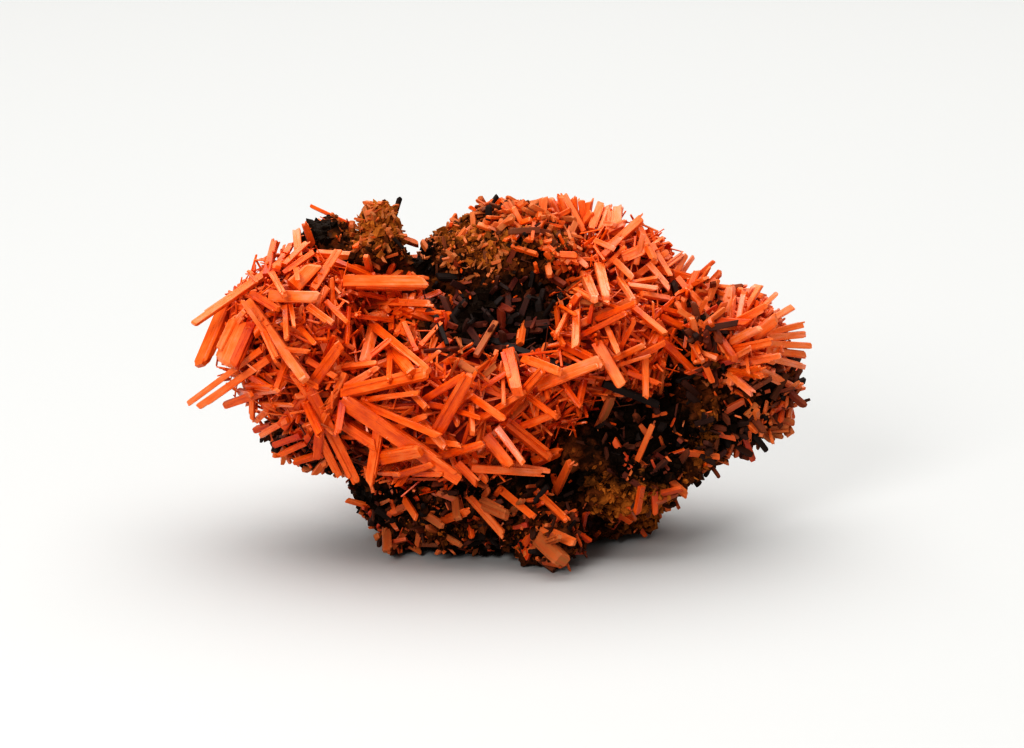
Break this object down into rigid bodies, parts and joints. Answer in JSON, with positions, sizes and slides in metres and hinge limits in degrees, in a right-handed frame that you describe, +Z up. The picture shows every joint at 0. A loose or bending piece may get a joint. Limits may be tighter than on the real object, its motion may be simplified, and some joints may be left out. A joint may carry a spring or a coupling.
{
  "type": "crocoite mineral specimen",
  "caption": "Cluster of orange-red prismatic crocoite crystals, jumbled like straw over a brown and black gossan matrix that rests on a flat broken base.",
  "frame": {"origin": "middle of the bounding box, on the surface that the specimen rests on", "axes": "+X to the right of the best side, along the longest extent; -Y towards the viewer of the best side; +Z up"},
  "size_m": [0.1028, 0.0562, 0.0546],
  "materials": {
    "crocoite": "translucent orange-red crystal with a vitreous to adamantine lustre and fine striations along its length",
    "gossan": "crumbly earthy brown and black oxide rock with ochre patches"
  },
  "bodies": {
    "root": {"gossan_matrix": "gossan", "crocoite_jackstraw": "crocoite", "crocoite_right_spray": "crocoite", "crocoite_rear_cluster": "crocoite", "single_crystal_01": "crocoite", "single_crystal_02": "crocoite", "single_crystal_03": "crocoite", "single_crystal_04": "crocoite", "single_crystal_05": "crocoite", "single_crystal_06": "crocoite", "single_crystal_07": "crocoite", "single_crystal_08": "crocoite", "single_crystal_09": "crocoite", "single_crystal_10": "crocoite", "single_crystal_11": "crocoite", "single_crystal_12": "crocoite", "single_crystal_13": "crocoite", "single_crystal_14": "crocoite"}
  },
  "joints": []
}
